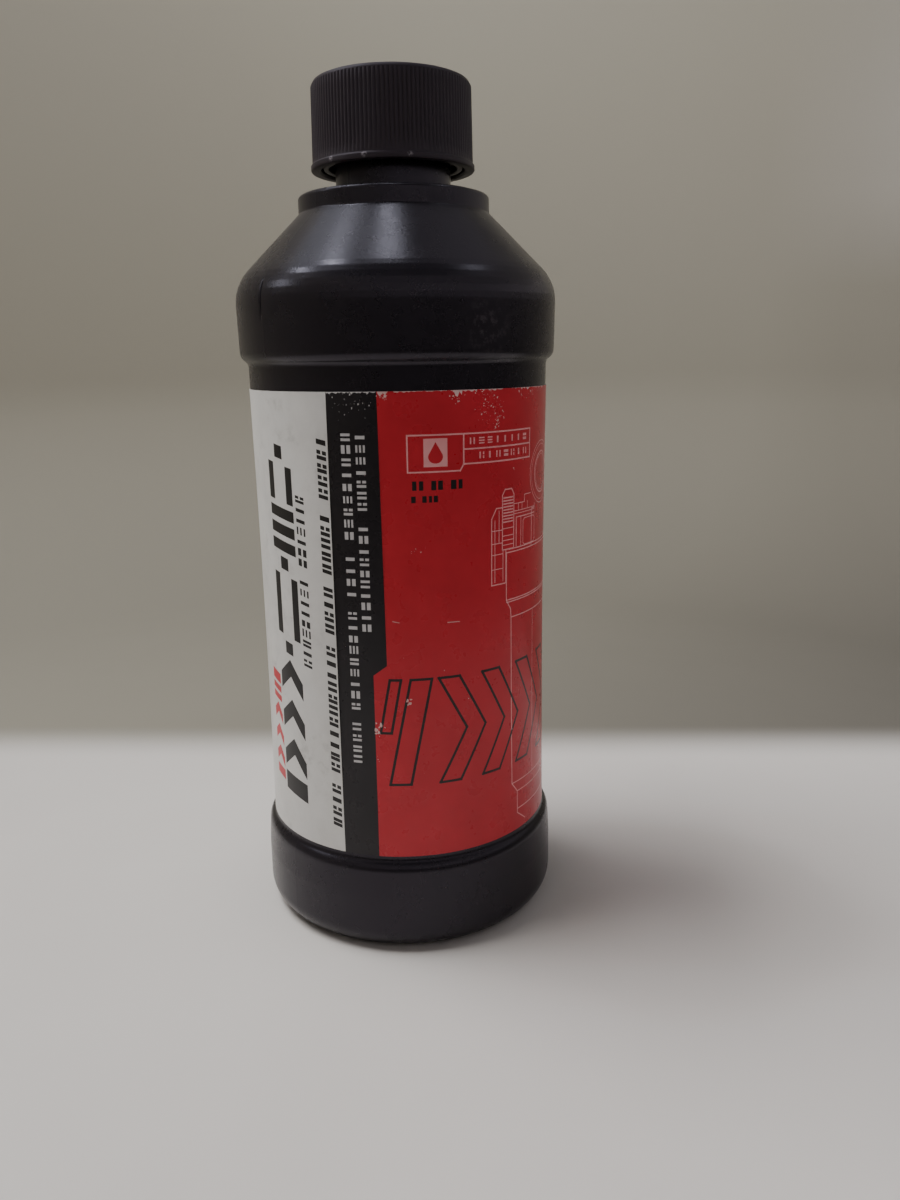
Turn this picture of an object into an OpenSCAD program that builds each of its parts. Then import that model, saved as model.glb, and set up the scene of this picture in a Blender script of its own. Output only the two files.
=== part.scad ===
// Round one-pint fluid bottle with a wrap-around label and a two-piece child-resistant screw cap.
// Millimetres. +Z is up, the origin is the centre of the foot, and -Y is the front of the label.

/* [Bottle body] */
// Diameter of the heel band, the widest part near the foot
heel_d = 71.5; // [70.5:0.1:73]
// Height of the straight heel band above the foot
heel_h = 13.9; // [10:0.1:15]
// Radius of the rounded corner between the foot and the heel band
heel_round = 5.5; // [4:0.1:6.5]
// Diameter of the label panel at its two ends
panel_d = 67.6; // [67:0.1:68.2]
// How far the label panel draws in at its middle
panel_sink = 0.4; // [0:0.1:0.6]
// Height of the top end of the label panel
panel_top_z = 129.7; // [126:0.1:130]
// Diameter of the shoulder drum at its widest
drum_d = 71.6; // [71:0.1:73]
// Height at which the drum starts to turn into the cone
drum_top_z = 142.8; // [140:0.1:143]
// Average thickness of the blown wall
wall = 1.0; // [0.8:0.1:1.2]

/* [Collar and neck] */
// Diameter of the flat-topped collar at the top of the cone
collar_d = 42; // [41:0.5:44]
// Height of the collar's flat top
collar_top_z = 165.5; // [165.5:0.1:167]
// Outside diameter of the neck between its threads
neck_d = 25.2; // [24.8:0.1:25.3]
// Inside diameter of the neck
bore_d = 21.6; // [20:0.1:22]
// Height of the sealing lip
lip_z = 182.4; // [182:0.1:182.6]

/* [Screw thread] */
// Rise of the thread in one turn: six threads to the inch
thread_pitch = 4.2333; // [4.0:0.0001:4.4]
// Outside diameter of the thread on the neck
thread_d = 27.4; // [27.2:0.1:27.5]
// Turns of thread on the neck and in the cap
thread_turns = 1.25; // [1:0.05:1.5]

/* [Cap] */
// Diameter of the outer shell at its lower lip
cap_d = 35.7; // [35.4:0.05:35.9]
// Diameter of the outer shell just under its rounded top edge
cap_top_d = 34.5; // [34.2:0.05:34.7]
// Height of the cap's lower lip above the foot
cap_bottom_z = 170.6; // [170:0.1:170.8]
// Height of the cap's top, which is the height of the whole object
cap_top_z = 188.5; // [188.4:0.1:189]
// Number of grip ribs round the outer shell
rib_count = 120; // [60:1:130]
// Depth of the grooves between the grip ribs
rib_depth = 0.3; // [0.2:0.05:0.4]
// How far the outer shell is pushed down to drive the inner cap
push_travel = 1.3; // [1:0.1:1.3]

/* [Label and contents] */
// Height of the label's lower edge
label_bottom_z = 23.4; // [23.3:0.1:26]
// Height of the label
label_h = 101.6; // [95:0.1:102.4]
// Bare strip between the label's two ends, at the back
label_gap = 3; // [1:0.5:8]
// Level of the fluid: 473 ml at the stated wall
fluid_z = 141.7; // [120:0.1:150]

/* [Hidden] */
$fn = 96;

// Bottle profile
heel_r = heel_d / 2;
panel_r = panel_d / 2;
drum_r = drum_d / 2;
collar_r = collar_d / 2;
neck_r = neck_d / 2;
bore_r = bore_d / 2;
foot_inner_r = 28;
push_up_r = 22;
push_up_h = 2.6;
heel_draft = 0.45;
heel_draft_h = 5.7;
heel_top_r = heel_r - heel_draft;
heel_top_z = heel_h + heel_draft_h;
step_convex = 3;
step_concave = 1.5;
step_sum = step_convex + step_concave;
heel_turn = acos(1 - (heel_top_r - panel_r) / step_sum);
panel_bottom_z = heel_top_z + step_sum * sin(heel_turn);
drum_draft = 0.3;
drum_bottom_r = drum_r - drum_draft;
drum_convex = 2.4;
drum_concave = 1.4;
drum_sum = drum_convex + drum_concave;
drum_turn = acos(1 - (drum_bottom_r - panel_r) / drum_sum);
drum_bottom_z = panel_top_z + drum_sum * sin(drum_turn);
drum_round = 10;
cone_slope = 45;
cone_sum = drum_r - drum_round + drum_top_z + drum_round * sqrt(2);
collar_fillet = 0.6;
collar_foot_z = cone_sum + collar_fillet * sqrt(2) - collar_r - collar_fillet;
collar_edge = 0.8;
neck_fillet = 1;
lip_edge = 0.4;
panel_steps = 12;

// Thread: right-handed, so the cap rises as it turns anticlockwise seen from above
thread_r = thread_d / 2;
thread_base_w = 2.3;
thread_crest_w = 1.0;
thread_setback = 2.2;
thread_top_z = lip_z - thread_setback;
thread_bottom_z = thread_top_z - thread_pitch * thread_turns;
thread_start = -40;
thread_fade = 25;
thread_step = 7.5;
thread_bury = 0.4;
// How far the cap's thread sits below the neck's, measured between their middles
flank_drop = 1.6;

// Inner cap
seal_gap = 0.03;
thread_gap = 0.3;
skirt_wall = 1.2;
liner_h = 0.95;
inner_root_r = thread_r + thread_gap;
inner_crest_r = neck_r + thread_gap;
inner_r = inner_root_r + skirt_wall;
inner_bottom_z = cap_bottom_z + 0.5;
inner_ceiling_z = lip_z + liner_h + 2 * seal_gap;
inner_top_z = inner_ceiling_z + skirt_wall;
flange_w = 0.85;
flange_r = inner_r + flange_w;
flange_z = cap_bottom_z + 1.8;
flange_h = 1;
lug_count = 12;
lug_h = push_travel;
lug_angle = 9;
lug_inner_r = 9;
lug_outer_r = 14;

// Outer cap
cap_r = cap_d / 2;
cap_lip_step = 0.35;
cap_body_r = cap_r - cap_lip_step;
cap_top_r = cap_top_d / 2;
cap_round = 1.2;
cap_lip_h = 1.4;
lug_bury = 0.1;
cap_ceiling_z = inner_top_z + 2 * push_travel + lug_bury;
cap_inner_r = flange_r + 0.3;
bead_r = inner_r + 0.45;
bead_top_z = cap_bottom_z + 1.4;
bead_bevel = 0.4;
rib_stop_z = cap_top_z - cap_round - 0.1;
rib_share = 0.6;

// Label: a thin film that stands just clear of the panel
label_clear = 0.05;
label_thick = 0.12;
fluid_clear = 0.05;

// Points of an arc in the r-z plane, from angle a to angle b
function arc(r, z, radius, a, b, n = 8) =
    [for (i = [0:n]) [r + radius * cos(a + (b - a) * i / n), z + radius * sin(a + (b - a) * i / n)]];

// Radius of the label panel at height z
function panel_at(z) =
    let (half = (panel_top_z - panel_bottom_z) / 2, mid = panel_bottom_z + half)
    panel_r - panel_sink * (1 - pow((z - mid) / half, 2));

// Points up a stretch of the label panel, moved out by t
function panel_points(t, z0, z1) =
    [for (i = [0:panel_steps]) let (z = z0 + (z1 - z0) * i / panel_steps) [panel_at(z) + t, z]];

// The bottle's outline from the centre of the foot to the collar's flat top, set in by t
function body_points(t) =
    let (edge = max(collar_edge - t, 0.05))
    concat(
        [[0, push_up_h + t], [push_up_r, push_up_h + t], [foot_inner_r + 0.4 * t, t]],
        arc(heel_r - heel_round, heel_round, heel_round - t, -90, 0),
        [[heel_r - t, heel_h]],
        arc(heel_top_r - step_convex, heel_top_z, step_convex - t, 0, heel_turn),
        arc(panel_r + step_concave, panel_bottom_z, step_concave + t, 180 + heel_turn, 180.5, 4),
        panel_points(-t, panel_bottom_z, panel_top_z),
        arc(panel_r + drum_concave, panel_top_z, drum_concave + t, 179.5, 180 - drum_turn, 4),
        arc(drum_bottom_r - drum_convex, drum_bottom_z, drum_convex - t, -drum_turn, 0),
        arc(drum_r - drum_round, drum_top_z, drum_round - t, 0, cone_slope),
        arc(collar_r + collar_fillet, collar_foot_z, collar_fillet + t, 180 + cone_slope, 180, 4),
        arc(collar_r - t - edge, collar_top_z - t - edge, edge, 0, 90, 4)
    );

// Cross-section of a thread ridge: from radius r0 in the wall to radius r1 at the crest
function ridge(r0, r1) =
    [[r0, -thread_base_w / 2], [r1, -thread_crest_w / 2], [r1, thread_crest_w / 2], [r0, thread_base_w / 2]];

// How much of the thread's height stands at angle a of its length, fading in at both ends
function fade(a, length) = min(1, min(a, length - a) / thread_fade);

// A helical ridge on a wall of radius wall_r. reach is its height, negative towards the axis
module helix_ridge(wall_r, reach, z0) {
    length = 360 * thread_turns;
    count = ceil(length / thread_step);
    side = sign(reach);
    points = [
        for (i = [0:count])
        let (a = length * i / count, height = -0.15 + (abs(reach) + 0.15) * fade(a, length))
        for (p = ridge(wall_r - side * thread_bury, wall_r + side * height))
        [p[0] * cos(a + thread_start), p[0] * sin(a + thread_start), z0 + p[1] + thread_pitch * a / 360]
    ];
    strip = [
        for (i = [0:count - 1])
        for (j = [0:3])
        let (k = (j + 1) % 4, a = 4 * i + j, b = 4 * i + k)
        each [[a, a + 4, b], [b, a + 4, b + 4]]
    ];
    last = 4 * count;
    ends = [[0, 1, 2], [0, 2, 3], [last, last + 2, last + 1], [last, last + 3, last + 2]];
    faces = concat(strip, ends);
    polyhedron(points, side > 0 ? [for (f = faces) [f[0], f[2], f[1]]] : faces);
}

// A ring of equal drive lugs, each a sector of a ring
module lugs(z, turn) {
    for (i = [0:lug_count - 1])
        rotate([0, 0, turn + i * 360 / lug_count - lug_angle / 2])
            translate([0, 0, z])
                rotate_extrude(angle = lug_angle)
                    translate([lug_inner_r, 0])
                        square([lug_outer_r - lug_inner_r, lug_h]);
}

// Grooves between the grip ribs, cut from outside the shell
module rib_grooves() {
    half_w = rib_share * 180 / rib_count;
    root_r = cap_top_r - rib_depth;
    mouth_r = cap_r + 1;
    mouth_w = half_w * (mouth_r - root_r) / (cap_body_r - root_r);
    translate([0, 0, cap_bottom_z + cap_lip_h])
        linear_extrude(rib_stop_z - cap_bottom_z - cap_lip_h)
            for (i = [0:rib_count - 1])
                rotate(i * 360 / rib_count)
                    polygon([
                        [root_r, 0],
                        [mouth_r * cos(mouth_w), -mouth_r * sin(mouth_w)],
                        [mouth_r * cos(mouth_w), mouth_r * sin(mouth_w)]
                    ]);
}

module bottle() {
    color([0.03, 0.03, 0.035]) {
        rotate_extrude()
            polygon(concat(
                body_points(0),
                arc(neck_r + neck_fillet, collar_top_z + neck_fillet, neck_fillet, 270, 180, 4),
                arc(neck_r - lip_edge, lip_z - lip_edge, lip_edge, 0, 90, 4),
                [[bore_r, lip_z], [bore_r, collar_top_z - wall]],
                [for (i = [len(body_points(wall)) - 1:-1:0]) body_points(wall)[i]]
            ));
        helix_ridge(neck_r, thread_r - neck_r, thread_bottom_z);
    }
}

module label() {
    gap_angle = label_gap / panel_r * 180 / PI;
    label_top_z = label_bottom_z + label_h;
    outside = panel_points(label_clear + label_thick, label_bottom_z, label_top_z);
    inside = panel_points(label_clear, label_bottom_z, label_top_z);
    color([0.55, 0.1, 0.12])
        rotate([0, 0, 90 + gap_angle / 2])
            rotate_extrude(angle = 360 - gap_angle)
                polygon(concat(outside, [for (i = [panel_steps:-1:0]) inside[i]]));
}

module fluid_fill() {
    color([0.75, 0.35, 0.1, 0.8])
        intersection() {
            rotate_extrude()
                polygon(concat(body_points(wall + fluid_clear), [[0, collar_top_z - wall - fluid_clear]]));
            cylinder(h = fluid_z, r = heel_d);
        }
}

module inner_cap() {
    color([0.04, 0.04, 0.045]) {
        difference() {
            union() {
                translate([0, 0, inner_bottom_z])
                    cylinder(h = inner_top_z - inner_bottom_z, r = inner_r);
                translate([0, 0, flange_z])
                    cylinder(h = flange_h, r = flange_r);
            }
            translate([0, 0, inner_bottom_z - 1])
                cylinder(h = inner_ceiling_z - inner_bottom_z + 1, r = inner_root_r);
        }
        helix_ridge(inner_root_r, inner_crest_r - inner_root_r, thread_bottom_z - flank_drop);
        lugs(inner_top_z, 0);
    }
}

module outer_cap() {
    color([0.05, 0.05, 0.055]) {
        difference() {
            rotate_extrude()
                polygon(concat(
                    [[bead_r, cap_bottom_z + bead_bevel], [bead_r + bead_bevel, cap_bottom_z]],
                    [[cap_r - lip_edge, cap_bottom_z], [cap_r, cap_bottom_z + lip_edge]],
                    [[cap_r, cap_bottom_z + cap_lip_h - cap_lip_step], [cap_body_r, cap_bottom_z + cap_lip_h]],
                    arc(cap_top_r - cap_round, cap_top_z - cap_round, cap_round, 0, 90),
                    [[0, cap_top_z], [0, cap_ceiling_z], [cap_inner_r, cap_ceiling_z]],
                    [[cap_inner_r, bead_top_z + bead_bevel], [bead_r, bead_top_z]]
                ));
            rib_grooves();
        }
        lugs(cap_ceiling_z - lug_h + lug_bury, 180 / lug_count);
    }
}

module cap_liner() {
    color([0.93, 0.93, 0.9])
        translate([0, 0, lip_z + seal_gap])
            cylinder(h = liner_h, r = inner_root_r - thread_gap);
}

bottle();
label();
fluid_fill();
inner_cap();
outer_cap();
cap_liner();
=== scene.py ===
"""Looks of a black one-pint fluid bottle: wrap-around label, fluid, and a two-piece screw cap.

The frame is in metres. Everything below is worked out in millimetres and scaled when a mesh
is made. Angles round the bottle, phi, are measured from the front (-Y) towards +X.
"""

import math

import bpy
import numpy as np
from mathutils import Matrix, Vector
from mathutils.geometry import delaunay_2d_cdt


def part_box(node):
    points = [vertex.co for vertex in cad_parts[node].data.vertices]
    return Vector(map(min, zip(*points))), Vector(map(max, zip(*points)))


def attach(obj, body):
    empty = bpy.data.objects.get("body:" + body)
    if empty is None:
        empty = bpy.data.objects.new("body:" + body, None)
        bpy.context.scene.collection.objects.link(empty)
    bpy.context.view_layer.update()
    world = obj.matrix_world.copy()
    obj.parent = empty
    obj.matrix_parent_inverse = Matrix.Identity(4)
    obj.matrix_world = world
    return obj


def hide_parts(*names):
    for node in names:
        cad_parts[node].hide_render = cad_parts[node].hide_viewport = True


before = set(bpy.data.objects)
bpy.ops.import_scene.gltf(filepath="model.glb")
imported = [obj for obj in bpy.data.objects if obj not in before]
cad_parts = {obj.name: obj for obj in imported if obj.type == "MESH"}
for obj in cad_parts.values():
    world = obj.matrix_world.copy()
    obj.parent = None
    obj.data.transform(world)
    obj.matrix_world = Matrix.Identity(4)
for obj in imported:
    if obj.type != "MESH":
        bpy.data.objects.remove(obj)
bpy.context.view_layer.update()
MM = 0.001


def span(node):
    """Lowest and highest corner of a CAD node in millimetres."""
    return [np.array(corner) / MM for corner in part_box(node)]


# Bottle: sizes read from the frame, then those that it doesn't give
HEEL_R = span("bottle")[1][0] - 0.05
LIP_Z = span("bottle")[1][2]
WALL = 1.0
HEEL_H, HEEL_ROUND, HEEL_TOP_R, HEEL_TOP_Z = 13.9, 5.5, 35.3, 19.6
PUSH_UP_R, PUSH_UP_H, FOOT_R = 22.0, 2.6, 28.0
PANEL_R, PANEL_SINK, PANEL_TOP_Z = 33.8, 0.4, 129.7
STEP_CONVEX, STEP_CONCAVE = 3.0, 1.5
DRUM_R, DRUM_BOTTOM_R, DRUM_TOP_Z, DRUM_ROUND = 35.8, 35.5, 142.8, 10.0
DRUM_CONVEX, DRUM_CONCAVE = 2.4, 1.4
COLLAR_R, COLLAR_TOP_Z, COLLAR_EDGE, COLLAR_FILLET = 21.0, 165.5, 0.8, 0.6
NECK_R, BORE_R, NECK_FILLET, LIP_EDGE = 12.6, 10.8, 1.0, 0.4
PARTING, PARTING_H, NECK_PARTING_H = (-50.0, 130.0), 0.012, 0.03
GROOVE_LOW, GROOVE_HIGH, GROOVE_DEPTH, GROOVE_WIDTH = 139.5, 147.5, 0.32, 0.3

# Screw thread
PITCH, THREAD_R, THREAD_TURNS = 4.2333, 13.7, 1.25
THREAD_BASE, THREAD_CREST = 2.3, 1.0
THREAD_START, THREAD_FADE = -40.0, 25.0
THREAD_Z = LIP_Z - 2.2 - PITCH * THREAD_TURNS
CAP_THREAD_DROP = 1.6

# Cap
CAP_TOP_Z = span("outer_cap")[1][2]
CAP_BOTTOM_Z = span("outer_cap")[0][2]
CAP_R = span("outer_cap")[1][0]
CAP_TOP_R, CAP_LIP_H, CAP_LIP_STEP = 17.25, 1.4, 0.35
RIBS, RIB_DEPTH, RIB_LEDGE = 120, 0.22, 0.14
# Lip burrs as (phi, height above the cap's foot); the outer cap's material also paints glints on
# them.
BURRS = ((-46.0, 0.75), (-19.0, 0.8), (11.5, 0.85))
RIB_TOP_Z = CAP_TOP_Z - 1.0
INNER_BOTTOM_Z, INNER_TOP_Z = CAP_BOTTOM_Z + 0.5, 184.61
CEILING_Z = 183.41
INNER_R, FLANGE_R, FLANGE_Z, FLANGE_H = 15.2, 16.05, 172.4, 1.0
ROOT_R, CREST_R = 14.0, 12.9
LUGS, LUG_H, LUG_ANGLE, LUG_IN, LUG_OUT = 12, 1.3, 9.0, 9.0, 14.0
LUG_PITCH = 360 / LUGS
SHELL_CEILING_Z, SHELL_R, BEAD_R, BEAD_TOP_Z, BEAD_BEVEL = 187.31, 16.35, 15.65, 172.0, 0.4
LINER_R = span("cap_liner")[1][0]

# Label and fluid
LABEL_Z0, LABEL_Z1 = span("label")[0][2], span("label")[1][2]
LABEL_CLEAR, LABEL_THICK, LABEL_GAP = 0.05, 0.12, 3.0
LABEL_EDGE = math.pi * PANEL_R - LABEL_GAP / 2
LABEL_STEP = 1.5
RED_END = 76.0
FLUID_Z, FLUID_CLEAR = span("fluid_fill")[1][2], 0.05
MENISCUS, MENISCUS_REACH = 1.2, 1.4
MENISCUS_STEPS = (0.0, 0.3, 0.7, 1.2, 2.0, 3.2, 5.0, 9.0, 18.0)

# Camera, fitted to the photograph
LENS, SENSOR = 28.8, 36
CAMERA_YAW, CAMERA_PITCH, CAMERA_ROLL = 2.803, 14.374, -0.807
CAMERA_Y, CAMERA_Z = -227.7, 132.0

# Floor and wall
FLOOR_R, SWEEP_R, WALL_H = 285.0, 120.0, 560.0


# ---------------- outlines

def turn_of(drop, radii):
    """Turn of an S-shaped step of two arcs that moves the wall in by drop."""
    return math.acos(1 - drop / radii)


def inset(corners, t):
    """A path of (r, z, rounding) corners moved by t towards the left of its direction."""
    points = [np.array(c[:2], float) for c in corners]
    ways = [(b - a) / np.linalg.norm(b - a) for a, b in zip(points, points[1:])]
    lefts = [np.array([-w[1], w[0]]) for w in ways]
    moved = [(*(points[0] + t * lefts[0]), 0.0)]
    for i in range(1, len(points) - 1):
        w0, w1 = ways[i - 1], ways[i]
        start, target = points[i - 1] + t * lefts[i - 1], points[i] + t * lefts[i]
        bend = w0[0] * w1[1] - w0[1] * w1[0]
        if abs(bend) < 1e-6:
            corner = target
        else:
            gap = target - start
            corner = start + w0 * (gap[0] * w1[1] - gap[1] * w1[0]) / bend
        rounding = corners[i][2] - t * (1 if bend > 0 else -1)
        moved.append((*corner, max(rounding, 0.15)))
    moved.append((*(points[-1] + t * lefts[-1]), 0.0))
    return moved


def corner_arc(a, b, c, rounding, facet):
    """Points of the arc that rounds corner b between a and c."""
    u, v = (a - b) / np.linalg.norm(a - b), (c - b) / np.linalg.norm(c - b)
    half = math.acos(max(-1.0, min(1.0, float(u @ v)))) / 2
    turn = math.pi - 2 * half
    if rounding <= 0 or turn < 1e-3:
        return [b]
    reach = rounding / math.tan(half)
    middle = b + (u + v) / np.linalg.norm(u + v) * rounding / math.sin(half)
    first, last = b + u * reach, b + v * reach
    count = max(2, math.ceil(turn / math.radians(facet)))
    arms = [(first - middle) * math.sin(turn * (1 - s)) + (last - middle) * math.sin(turn * s)
            for s in np.linspace(0, 1, count + 1)]
    return [middle + arm / math.sin(turn) for arm in arms]


def rounded(corners, step=4.0, facet=9.0, bands=()):
    """Points along (r, z, rounding) corners: arcs at the corners, straight runs split.

    bands holds (z0, z1, step) heights between which runs are split more finely."""
    points = [np.array(c[:2], float) for c in corners]
    path = [points[0]]
    for a, b, c, corner in zip(points, points[1:], points[2:], corners[1:]):
        path += corner_arc(a, b, c, corner[2], facet)
    path.append(points[-1])
    out = [path[0]]
    for a, b in zip(path, path[1:]):
        length = np.linalg.norm(b - a)
        if length < 1e-6:
            continue
        middle = (a[1] + b[1]) / 2
        limit = min([step] + [s for z0, z1, s in bands if z0 <= middle <= z1])
        pieces = max(1, math.ceil(length / limit))
        shares = list(np.linspace(0, 1, pieces + 1)[1:])
        if length > 1.0:
            near = 0.25 / length
            shares = sorted({near, 1 - near, *[s for s in shares if near < s < 1 - near], 1.0})
        out += [a + (b - a) * s for s in shares]
    return np.array(out)


HEEL_TURN = turn_of(HEEL_TOP_R - PANEL_R, STEP_CONVEX + STEP_CONCAVE)
DRUM_TURN = turn_of(DRUM_BOTTOM_R - PANEL_R, DRUM_CONVEX + DRUM_CONCAVE)
PANEL_LOW_Z = HEEL_TOP_Z + (STEP_CONVEX + STEP_CONCAVE) * math.sin(HEEL_TURN)
DRUM_LOW_Z = PANEL_TOP_Z + (DRUM_CONVEX + DRUM_CONCAVE) * math.sin(DRUM_TURN)
SHOULDER_Z = DRUM_TOP_Z + DRUM_ROUND * math.tan(math.radians(22.5))


def sink(points):
    """Draws the label panel in at its middle."""
    points = np.array(points, float)
    half = (PANEL_TOP_Z - PANEL_LOW_Z) / 2
    share = 1 - ((points[:, 1] - PANEL_LOW_Z - half) / half) ** 2
    inside = (share > 0) & (points[:, 0] > PANEL_R - 4)
    points[:, 0] -= np.where(inside, PANEL_SINK * share, 0)
    return points


def body_corners():
    """Outside of the bottle from the middle of its foot to the inner edge of the collar."""
    return [
        (0, PUSH_UP_H, 0),
        (PUSH_UP_R, PUSH_UP_H, 4),
        (FOOT_R, 0, 1.5),
        (HEEL_R, 0, HEEL_ROUND),
        (HEEL_R, HEEL_H, 12),
        (HEEL_TOP_R, HEEL_TOP_Z + STEP_CONVEX * math.tan(HEEL_TURN / 2), STEP_CONVEX),
        (PANEL_R, PANEL_LOW_Z - STEP_CONCAVE * math.tan(HEEL_TURN / 2), STEP_CONCAVE),
        (PANEL_R, PANEL_TOP_Z + DRUM_CONCAVE * math.tan(DRUM_TURN / 2), DRUM_CONCAVE),
        (DRUM_BOTTOM_R, DRUM_LOW_Z - DRUM_CONVEX * math.tan(DRUM_TURN / 2), DRUM_CONVEX),
        (DRUM_R, SHOULDER_Z, DRUM_ROUND),
        (COLLAR_R, SHOULDER_Z + DRUM_R - COLLAR_R, COLLAR_FILLET),
        (COLLAR_R, COLLAR_TOP_Z, COLLAR_EDGE),
        (NECK_R, COLLAR_TOP_Z, NECK_FILLET),
    ]


# ---------------- turned meshes

def bridge(low, high):
    """Faces between two rings of points, where one may have a multiple of the other's count."""
    if len(low) == len(high):
        nxt, top = np.roll(low, -1), np.roll(high, -1)
        return np.stack([low, nxt, top, high], 1).tolist()
    faces, flip = [], len(low) < len(high)
    fine, coarse = (high, low) if flip else (low, high)
    ratio = len(fine) // len(coarse)
    for j, c0 in enumerate(coarse):
        c1 = coarse[(j + 1) % len(coarse)]
        edge = [fine[(j * ratio + k) % len(fine)] for k in range(ratio + 1)]
        half = ratio // 2
        fan = [(edge[k], edge[k + 1], c0 if k < half else c1) for k in range(ratio)]
        fan.append((c0, edge[half], c1))
        faces += [list(f[::-1]) if flip else list(f) for f in fan]
    return faces


def turned(points, phis, relief=None, stride=None):
    """Closed surface turned from a path that starts and ends on the axis.

    relief(phi, r, z, nr) gives how far each point stands out from the path, in millimetres.
    stride gives, for each point of the path, which share of the columns its ring keeps."""
    along = np.gradient(points, axis=0)
    along /= np.linalg.norm(along, axis=1)[:, None]
    normal = np.stack([along[:, 1], -along[:, 0]], 1)
    verts, rings = [np.array([[0, 0, points[0][1]]])], [np.array([0])]
    total = 1
    for i in range(1, len(points) - 1):
        phi = phis[::stride[i] if stride else 1]
        r, z = points[i]
        out = relief(phi, r, z, normal[i]) if relief else np.zeros(len(phi))
        radius, height = r + out * normal[i][0], z + out * normal[i][1]
        a = np.radians(phi)
        verts.append(np.stack([radius * np.sin(a), -radius * np.cos(a),
                               height + 0 * a], 1))
        rings.append(np.arange(total, total + len(phi)))
        total += len(phi)
    verts.append(np.array([[0, 0, points[-1][1]]]))
    faces = []
    for low, high in zip(rings[1:], rings[2:]):
        faces += bridge(low, high)
    first, last = rings[1], rings[-1]
    faces += [[0, b, a] for a, b in zip(first, np.roll(first, -1))]
    faces += [[total, a, b] for a, b in zip(last, np.roll(last, -1))]
    return np.concatenate(verts), [[int(v) for v in f] for f in faces]


def thin_near_axis(points, widest):
    """Strides that keep the columns about evenly spaced: fewer of them near the axis."""
    return [4 if r * 4 < widest * 0.8 else 2 if r * 2 < widest * 0.8 else 1
            for r, _ in points]


def degrees_off(phi, middle):
    """Angle of phi from middle, from -180 to 180."""
    return (phi - middle + 180) % 360 - 180


def columns(count, extra=(), clear=0.0):
    """Angles of the columns, in degrees and in rising order: even ones and extra ones.

    An even one is left out if it is within clear of an extra one."""
    even = [a for a in np.arange(count) * 360.0 / count
            if not clear or all(abs(degrees_off(a, e)) > clear for e in extra)]
    return np.array(sorted({round(a % 360, 4) for a in [*even, *extra]}))


def linked(name, data):
    """A new object in the scene."""
    obj = bpy.data.objects.new(name, data)
    bpy.context.scene.collection.objects.link(obj)
    return obj


def smooth_mesh(name, verts, faces, materials):
    """A smooth-shaded mesh in metres, from points in millimetres."""
    mesh = bpy.data.meshes.new(name)
    mesh.from_pydata((np.asarray(verts) * MM).tolist(), [], faces)
    for material in materials:
        mesh.materials.append(material)
    mesh.polygons.foreach_set("use_smooth", [True] * len(mesh.polygons))
    return mesh


def new_piece(name, verts, faces, materials, body, node, sharp=38, face_ink=None):
    """A mesh in place of a CAD node, riding on its body."""
    mesh = smooth_mesh(name, verts, faces, materials)
    if face_ink is not None:
        mesh.polygons.foreach_set("material_index", face_ink)
    mesh.update()
    if sharp:
        mesh.set_sharp_from_angle(angle=math.radians(sharp))
    obj = linked(name, mesh)
    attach(obj, body)
    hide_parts(node)
    return obj


# ---------------- relief

def smooth(x):
    """0 below 0, 1 above 1, and a smooth rise between them."""
    x = np.clip(x, 0, 1)
    return x * x * (3 - 2 * x)


def thread_height(phi, z, z0, height):
    """Height of the helical ridge at column angles phi and height z."""
    total = np.zeros(len(phi))
    length = 360 * THREAD_TURNS
    for lap in (0, 360):
        a = (phi - 90 - THREAD_START) % 360 + lap
        rise = np.minimum(a, length - a) / THREAD_FADE
        off = np.abs(z - (z0 + PITCH * a / 360))
        flank = (THREAD_BASE / 2 - off) / ((THREAD_BASE - THREAD_CREST) / 2)
        total = np.maximum(total, smooth(flank) * height * smooth(rise))
    return total


def near_parting(phi, width):
    """1 on the two parting lines, falling to 0 over width degrees."""
    off = [np.abs(degrees_off(phi, p)) for p in PARTING]
    return np.exp(-(np.minimum(*off) / width) ** 2)


def waviness(phi, z):
    """The slight unevenness of a blown wall, in millimetres."""
    a = np.radians(phi)
    return (0.030 * np.sin(3 * a + z / 9.0) + 0.022 * np.sin(5 * a - z / 6.1 + 1.3)
            + 0.014 * np.sin(9 * a + z / 4.3 + 2.1) + 0.010 * np.sin(14 * a - z / 7.7))


def bottle_relief(phi, r, z, n):
    """Thread, parting line, seam groove on the drum, and the blown wall's unevenness."""
    out = np.zeros(len(phi))
    if n[0] < -0.05 or (r < NECK_R - 0.05 and z > COLLAR_TOP_Z - 2):
        return out
    if z > COLLAR_TOP_Z + NECK_FILLET:
        ridge = thread_height(phi, z, THREAD_Z, THREAD_R - NECK_R)
        return ridge + NECK_PARTING_H * near_parting(phi, 0.45)
    out += PARTING_H * near_parting(phi, 0.35)
    if z < 1.0 and r < FOOT_R:
        return -0.5 * near_parting(phi, 0.3 + 14 / max(r, 1.0)) * smooth((FOOT_R - 3 - r) / 3)
    covered = smooth((LABEL_Z1 + 2.5 - z) / 1.5) * smooth((z - LABEL_Z0 + 2.5) / 1.5)
    out *= 1 - 0.8 * covered
    out += waviness(phi, z) * (1 - covered) * smooth(r / 20)
    groove = smooth((z - GROOVE_LOW) / 2) * smooth((GROOVE_HIGH - z) / 1.5)
    slant = PARTING[0] - 0.5 + (z - 143) * 0.06
    out -= GROOVE_DEPTH * groove * np.exp(-(degrees_off(phi, slant) / GROOVE_WIDTH) ** 2)
    return out * smooth(z / 4)


def lug_relief(phi, offset, r):
    """The ring of drive lugs on a flat disc."""
    off = (phi - 90 - offset + LUG_PITCH / 2) % LUG_PITCH - LUG_PITCH / 2
    inside = LUG_IN - 0.02 <= r <= LUG_OUT + 0.02
    return LUG_H * inside * (np.abs(off) <= LUG_ANGLE / 2 + 0.01)


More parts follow.
